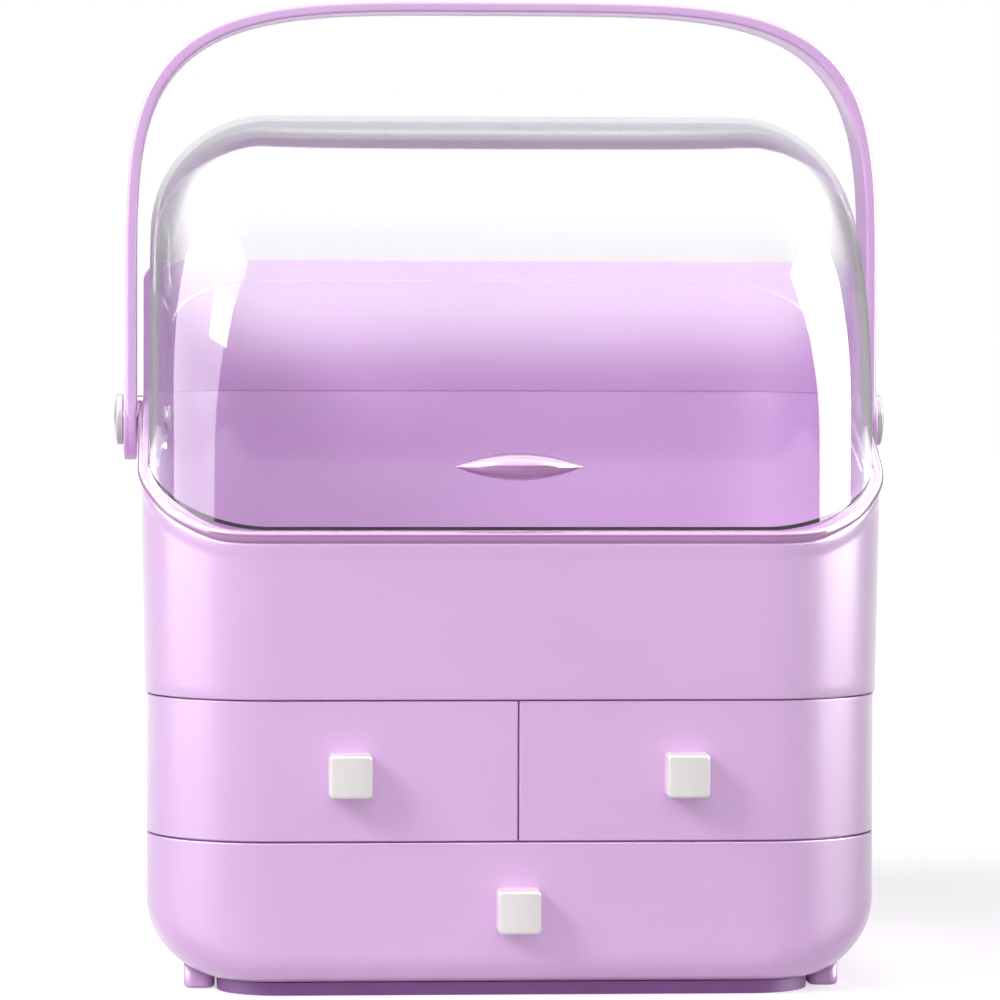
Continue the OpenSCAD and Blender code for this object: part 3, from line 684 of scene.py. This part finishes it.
def hub_cap(side):
    """White cap: a disc with rounded edges and a crown that falls off with the square of the radius."""
    (low, _, foot_h), (high, _, _) = corners("hub_cap_right")
    r, crown, shoulder_r, shoulder_t, foot = HUB_H - foot_h, 1.2, 0.8, 0.7, 0.5
    share = np.linspace(1, 0, 10)[1:]
    r_flat = r - shoulder_r
    top = np.stack([high - crown * (r_flat * share / r) ** 2, r_flat * share], 1)
    edge_x = high - crown * (r_flat / r) ** 2
    turn = np.radians(np.linspace(0, 90, 7))
    shoulder = np.stack([edge_x - shoulder_t * (1 - np.sin(turn)), r_flat + shoulder_r * np.cos(turn)], 1)
    lower = np.stack([low + foot * (1 - np.cos(turn[1:])), r - foot * (1 - np.sin(turn[1:]))], 1)
    profile = np.vstack([[[low, 0], [low, r - foot]], lower, shoulder, top])
    # The cap is white; its grey finish is painted shade.
    return turned(f"white_cap_{SIDES[side]}", profile, side, "cap_plastic_painted_shade",
                  "base", stands_for=[f"hub_cap_{SIDES[side]}"])


def leaf_pull():
    """Leaf-shaped pull.

    Its height and its reach fall off as one less the square of the share of its half width, and
    its section is the front half of a superellipse.
    """
    share = np.sin(np.radians(np.linspace(-90, 90, 61)))
    fall = np.clip(1 - share ** 2, 0, None)
    turn = np.radians(np.linspace(-90, 90, 29))
    power, sunk = 2.15, 0.4
    forward = np.abs(np.cos(turn)) ** (2 / power)
    rise = np.sign(np.sin(turn)) * np.abs(np.sin(turn)) ** (2 / power)
    grid = np.zeros((len(share), len(turn) + 2, 3))
    grid[..., 0] = PULL_W / 2 * share[:, None]
    grid[:, 1:-1, 1] = -COVER_R - PULL_D * fall[:, None] * forward
    grid[:, 1:-1, 2] = PULL_H + PULL_T / 2 * fall[:, None] * rise
    grid[:, [0, -1], 1] = -COVER_R + sunk
    grid[:, 0, 2] = grid[:, 1, 2]
    grid[:, -1, 2] = grid[:, -2, 2]
    # The pull shares the ring's dark lilac, which is painted shade.
    return surface("leaf_pull", grid, "lilac_trim", "cover", around=True,
                   caps=True, stands_for=["cover_pull"])


def square_knob(which):
    """Square knob, made of rings of a rounded square.

    They turn in by a quarter circle at the front edge and shrink to a point over a front that
    bulges as a cylinder.
    """
    x0, z0 = KNOBS[which]
    half, edge, corner, sunk = KNOB_W / 2, 1.15, 1.5, 0.3
    path = closed_path(half, half, corner)
    turn = np.radians(np.linspace(0, 90, 7))
    inset = np.concatenate([[0, 0], edge * (1 - np.cos(turn))])
    rings = path[None, :, :2] - path[None, :, 2:] * inset[:, None, None]
    share = np.linspace(1, 0, 8)[1:, None, None]
    rings = np.concatenate([rings, rings[-1:] * share])
    curve = KNOB_FACE_R - np.sqrt(KNOB_FACE_R ** 2 - rings[..., 0] ** 2)
    front = -LOWER_HALF_D - KNOB_D + curve
    behind = np.concatenate([[0, edge], edge * (1 - np.sin(turn)), np.zeros(7)])[:, None]
    depth = front + behind
    depth[0] = -LOWER_HALF_D + sunk
    grid = np.stack([x0 + rings[..., 0], depth, z0 + rings[..., 1]], 2)
    body = f"drawer_{which}"
    return surface(f"square_knob_{which}", grid[:, ::-1], "ivory_plastic", body,
                   around=True, stands_for=[f"knob_{which}"])


# Screws, feet and plates

def cross_screw(name, places, out, body, stands_for):
    """Screws with a domed head and a cross recess, one mesh for the set.

    The recess is a depth that falls off smoothly with the distance from two crossed bars, and
    out is the direction that the heads face.
    """
    bar_half, slot_half, recess, slope, widened = 1.9, 0.38, 0.8, 0.35, 0.1
    dome_h, edge_drop, edge_w, last_ring = 0.35, 0.25, 0.08, 0.3
    turn = np.radians(np.linspace(0, 360, 64, endpoint=False))
    rings = np.linspace(0, SCREW_HEAD_R - last_ring, 15)
    rings = np.concatenate([rings, [SCREW_HEAD_R - edge_w, SCREW_HEAD_R]])[:, None]
    a, b = rings * np.cos(turn), rings * np.sin(turn)
    bar = np.minimum(np.maximum(np.abs(a) - bar_half, np.abs(b) - slot_half),
                     np.maximum(np.abs(b) - bar_half, np.abs(a) - slot_half))
    dome = dome_h * (1 - (rings / SCREW_HEAD_R) ** 2)
    depth = recess * (1 - np.clip((bar + widened) / slope, 0, 1))
    rounding = np.where(rings > SCREW_HEAD_R - edge_w / 2, edge_drop, 0)
    head = np.stack([a, b, dome - depth - rounding], 2)
    tip = -SCREW_HEAD_T - SCREW_LENGTH
    below = np.array([[SCREW_HEAD_R, -SCREW_HEAD_T], [SCREW_R, -SCREW_HEAD_T], [SCREW_R, tip], [0, tip]])
    rest = np.stack([below[:, :1] * np.cos(turn), below[:, :1] * np.sin(turn),
                     np.broadcast_to(below[:, 1:], (len(below), len(turn)))], 2)
    one = np.concatenate([head, rest])
    to = Vector(out).to_track_quat("Z", "Y").to_matrix()
    one = one @ np.array(to).T
    rows, columns = one.shape[:2]
    points, faces = [], []
    for place in places:
        start = sum(len(part) for part in points)
        points.append(one.reshape(-1, 3) + np.array(place))
        row, column = np.arange(rows - 1), np.arange(columns)
        low, right = row[:, None] * columns + start, (column + 1) % columns
        faces += np.stack([low + column, low + columns + column, low + columns + right,
                           low + right], 2).reshape(-1, 4).tolist()
    return solid(name, np.vstack(points), faces, "steel", body, stands_for)


def underside(x, y):
    """Height of the case's outside at a place under it, by the same rounding as the lower skin's."""
    dx, dy = np.abs(x) - (LOWER_HALF_W - CORNER_R), np.abs(y) - (LOWER_HALF_D - CORNER_R)
    away = np.hypot(np.maximum(dx, 0), np.maximum(dy, 0))
    inset = CORNER_R - away - np.minimum(np.maximum(dx, dy), 0)
    sideways = np.where(away > 0, np.maximum(dx, 0) / np.maximum(away, 1e-6), dx > dy)
    radius = FRONT_ROUND + (SIDE_ROUND - FRONT_ROUND) * sideways ** 2
    level = np.clip(radius - inset, 0, radius)
    return BASE_H + radius - np.sqrt(radius ** 2 - level ** 2)


def side_foot(side):
    """Long foot: a rounded block.

    Its top follows the case's round underside, and its lower edge is a quarter circle.
    """
    low, high = corners("side_foot_right")
    half_w, half_l = (high - low)[:2] / 2
    middle, edge, corner, sunk = (low[0] + high[0]) / 2, 1.4, 4.0, 0.9
    path = closed_path(half_w, half_l, corner)
    turn = np.radians(np.linspace(0, 90, 6))
    share = np.linspace(0, 1, 5)[:-1]
    inset = np.concatenate([np.full(4, edge), edge * (1 - np.sin(turn)), [0]])
    rings = path[None, :, :2] - path[None, :, 2:] * inset[:, None, None]
    rings[:4] *= share[:, None, None]
    level = np.concatenate([np.zeros(4), edge * (1 - np.cos(turn)), [0]])
    height = np.broadcast_to(level[:, None], rings.shape[:2]).copy()
    x = side * middle + rings[..., 0]
    y = rings[..., 1]
    height[-1] = underside(x[-1], y[-1]) + sunk
    top = rings[-1:] * share[::-1, None, None]
    top_x, top_y = side * middle + top[..., 0], top[..., 1]
    grid = np.dstack([np.vstack([x, top_x]), np.vstack([y, top_y]),
                      np.vstack([height, underside(top_x, top_y) + sunk])])
    # The feet's darker lilac finish is painted shade.
    return surface(f"foot_{SIDES[side]}", grid, "lilac_feet_painted_shade", "base", around=True,
                   stands_for=[f"side_foot_{SIDES[side]}"])


# Camera, as read from the photograph: turned a little to the object's left and looking slightly
# down. Angles are in radians and lengths in metres, and the picture is PICTURE pixels square.
PICTURE, SENSOR = 1000, 36.0
FOCAL_PIXELS = 5148.58
CAMERA_YAW, CAMERA_PITCH, CAMERA_ROLL = 0.06047, 0.04071, 0.00283
CAMERA_DISTANCE = 1.95219
CAMERA_AIM = Vector((0.000067, 0.0, 0.17407))

# Softboxes: azimuth off the front, to the right, and elevation in degrees, distance, width and
# height in metres, power in watts, and whether they show in reflections alone
SOFTBOXES = {"key": (-56, 33, 2.2, 0.7, 0.7, 23.0, False),
             "left_panel": (-78, 26, 1.7, 1.7, 2.5, 92.0, True),
             "right_panel": (80, 24, 1.6, 1.25, 1.7, 120.0, True)}
SOFTBOX_AIM = Vector((0, 0, 0.18))

# Strength of the surroundings over a part of the direction: start and end of a smooth step, and
# the strength at its start and end. Fills are for diffuse rays, the rest for reflections.
FRONT_FILL_BY_Y, REAR_FILL_BY_Y = (-1.0, 0.2, 1.2, 0.03), (0.3, 1.0, 0.0, 0.8)
OVERHEAD_BY_Z, OVERHEAD_CUT_BY_Y = (0.2, 0.8, 0.0, 6.8), (0.55, 0.9, 1.0, 0.0)
FRONT_GLOSS_BY_Y, REAR_GLOSS_BY_Y = (-0.75, 0.1, 0.35, 0.7), (0.3, 0.95, 0.7, 0.45)

# Floor: size in metres, grey of its colour, and the glow that hides its far part against the
# white surroundings, by the distance from the object
FLOOR_SIZE, FLOOR_GREY = 12, 0.72
FLOOR_GLOW_BY_DISTANCE = (0.3, 1.3, 0.56, 1.0)


def place_camera():
    """Puts the camera at its distance behind the aim point, along its view direction."""
    yaw, pitch, roll = CAMERA_YAW, CAMERA_PITCH, CAMERA_ROLL
    forward = Vector((math.sin(yaw) * math.cos(pitch), math.cos(yaw) * math.cos(pitch), -math.sin(pitch)))
    level = Vector((math.cos(yaw), -math.sin(yaw), 0))
    upright = level.cross(forward)
    right = level * math.cos(roll) + upright * math.sin(roll)
    up = upright * math.cos(roll) - level * math.sin(roll)
    data = bpy.data.cameras.new("camera")
    data.sensor_width = SENSOR
    data.lens = FOCAL_PIXELS / PICTURE * SENSOR
    data.clip_start, data.clip_end = 0.1, 50
    camera = bpy.data.objects.new("camera", data)
    turn = Matrix((right, up, -forward)).transposed().to_4x4()
    camera.matrix_world = Matrix.Translation(CAMERA_AIM - CAMERA_DISTANCE * forward) @ turn
    bpy.context.scene.collection.objects.link(camera)
    bpy.context.scene.camera = camera


def softbox(name, azimuth, elevation, distance, width, height, power, only_gloss):
    """Rectangular lamp that faces the object's middle and isn't seen by itself."""
    across, up = math.radians(azimuth), math.radians(elevation)
    outwards = Vector((math.sin(across) * math.cos(up), -math.cos(across) * math.cos(up), math.sin(up)))
    data = bpy.data.lights.new(name, "AREA")
    data.shape = "RECTANGLE"
    data.size, data.size_y = width, height
    data.energy = power
    lamp = bpy.data.objects.new(name, data)
    turn = (-outwards).to_track_quat("-Z", "Y").to_matrix().to_4x4()
    lamp.matrix_world = Matrix.Translation(SOFTBOX_AIM + distance * outwards) @ turn
    lamp.visible_camera = False
    lamp.visible_transmission = False
    lamp.visible_diffuse = not only_gloss
    bpy.context.scene.collection.objects.link(lamp)


def chosen(tree, ray, off, on):
    """Value that is on's for a kind of ray, and off's for the others."""
    path = add(tree, "ShaderNodeLightPath")
    pick = add(tree, "ShaderNodeMix")
    wire(tree, path, ray, pick, 0)
    wire(tree, off, 0, pick, 2)
    wire(tree, on, 0, pick, 3)
    return pick


def surroundings():
    """White world that differs by the kind of ray.

    Diffuse rays meet a fill from the front and one from the rear. Reflections meet a bright
    field overhead, which ends towards the rear, and a softer one all round.
    """
    world = bpy.data.worlds.new("studio")
    bpy.context.scene.world = world
    world.use_nodes = True
    tree = world.node_tree
    background = tree.nodes["Background"]
    background.inputs["Color"].default_value = (1, 1, 1, 1)
    place = add(tree, "ShaderNodeTexCoord")
    parts = add(tree, "ShaderNodeSeparateXYZ")
    wire(tree, place, "Generated", parts, "Vector")

    def graded(axis, step):
        return ramp(tree, (parts, axis), *step, kind="SMOOTHSTEP"), 0

    white = add(tree, "ShaderNodeValue")
    white.outputs[0].default_value = 1.0
    fill = combined(tree, "ADD", graded("Y", FRONT_FILL_BY_Y), graded("Y", REAR_FILL_BY_Y))
    overhead = combined(tree, "MULTIPLY", graded("Z", OVERHEAD_BY_Z), graded("Y", OVERHEAD_CUT_BY_Y))
    round_about = combined(tree, "MINIMUM", graded("Y", FRONT_GLOSS_BY_Y), graded("Y", REAR_GLOSS_BY_Y))
    reflected = combined(tree, "ADD", (overhead, 0), (round_about, 0))
    level = chosen(tree, "Is Diffuse Ray", white, fill)
    level = chosen(tree, "Is Glossy Ray", level, reflected)
    wire(tree, level, 0, background, "Strength")


def shadow_floor():
    """Pale floor that keeps the shadow near the object and grows white further out.

    Its glow is for what the camera sees directly, in a reflection or through glass, so it
    lights nothing.
    """
    bpy.ops.mesh.primitive_plane_add(size=FLOOR_SIZE)
    floor = bpy.context.object
    floor.name = "floor"
    made = bpy.data.materials.new("floor")
    made.use_nodes = True
    tree = made.node_tree
    shader = tree.nodes["Principled BSDF"]
    shader.inputs["Base Color"].default_value = (FLOOR_GREY, FLOOR_GREY, FLOOR_GREY, 1)
    shader.inputs["Roughness"].default_value = 1.0
    shader.inputs["Specular IOR Level"].default_value = 0.0
    shader.inputs["Emission Color"].default_value = (1, 1, 1, 1)
    place = add(tree, "ShaderNodeTexCoord")
    distance = add(tree, "ShaderNodeVectorMath")
    distance.operation = "LENGTH"
    wire(tree, place, "Object", distance, 0)
    glow = ramp(tree, (distance, "Value"), *FLOOR_GLOW_BY_DISTANCE)
    path = add(tree, "ShaderNodeLightPath")
    mirrored = combined(tree, "MAXIMUM", (path, "Is Glossy Ray"), (path, "Is Transmission Ray"))
    seen = combined(tree, "MAXIMUM", (path, "Is Camera Ray"), (mirrored, 0))
    wire(tree, combined(tree, "MULTIPLY", (seen, 0), (glow, 0)), 0, shader, "Emission Strength")
    floor.data.materials.append(made)


place_camera()
surroundings()
for name, settings in SOFTBOXES.items():
    softbox(name, *settings)
shadow_floor()

# CAD nodes that stay keep their shape and take the finish of their slot
slots = {row["node"]: row["material_slot"] for row in frame["record"]["subparts"]}
for name, node in frame["nodes"].items():
    node.data.materials.clear()
    node.data.materials.append(FINISHES[slots[name]])

# Lower half
front = front_path(LOWER_HALF_W, LOWER_HALF_D, CORNER_R, RETURN_Y)
back = back_path(LOWER_HALF_W, LOWER_HALF_D, CORNER_R, RETURN_Y + SEAM)
lower_skin("lower_case_skin", back, DECK_TOP, BASE_H, True, "base", ["lower_case"], LOWER_WALL)
inset = FRONT_T + SEAM
plan = closed_path(LOWER_HALF_W - inset, LOWER_HALF_D - inset, CORNER_R - inset)
slab("deck_plate", plan, DECK_TOP - DECK_T, DECK_TOP, EDGE)
half_seam = SEAM / 2
lower_skin("drawer_face_wide", front, SHELF_MID - half_seam, BASE_H + BOX_GAP, True, "drawer_wide",
           ["drawer_front_wide"], FRONT_T)
wide_tray()
corner_x, corner_y = LOWER_HALF_W - CORNER_R, LOWER_HALF_D - CORNER_R
left_half = joined(line((-LOWER_HALF_W, RETURN_Y), (-LOWER_HALF_W, -corner_y)),
                   arc((-corner_x, -corner_y), CORNER_R, 180, 270),
                   line((-corner_x, -LOWER_HALF_D), (-half_seam, -LOWER_HALF_D)))
right_half = joined(line((half_seam, -LOWER_HALF_D), (corner_x, -LOWER_HALF_D)),
                    arc((corner_x, -corner_y), CORNER_R, 270, 360),
                    line((LOWER_HALF_W, -corner_y), (LOWER_HALF_W, RETURN_Y)))
for which, path in (("left", left_half), ("right", right_half)):
    lower_skin(f"drawer_face_{which}", path, DECK_TOP - TOP_SEAM, SHELF_MID + half_seam, False,
               f"drawer_{which}", [f"drawer_front_{which}"], FRONT_T)

# Upper half
upper_case_wall()
in_wall, off_deck, floor_edge, head_lift = 0.6, 0.01, 0.1, 0.1
inset = CASE_DRAFT + WALL - in_wall
plan = closed_path(CASE_HALF_W - inset, CASE_HALF_D - inset, CASE_R - inset)
slab("compartment_floor", plan, DECK_TOP + off_deck, FLOOR_TOP, floor_edge)
cover_ledge()
rim_roll()
strap_handle()
for side in SIDES:
    handle_pad(side)
    hub_cap(side)
    side_foot(side)
leaf_pull()
screw_y = -LOWER_HALF_D + FRONT_T + TRAY_T + SCREW_HEAD_T
for which, (x, z) in KNOBS.items():
    square_knob(which)
    cross_screw(f"cross_screw_{which}", [(x, screw_y, z)], (0, 1, 0), f"drawer_{which}",
                [f"knob_screw_{which}"])
cross_screw("floor_screws", [(x, y, FLOOR_TOP + head_lift) for x, y in DECK_SCREWS], (0, 0, 1), "base",
            ["deck_screws"])

bpy.context.scene.view_settings.view_transform = "Standard"
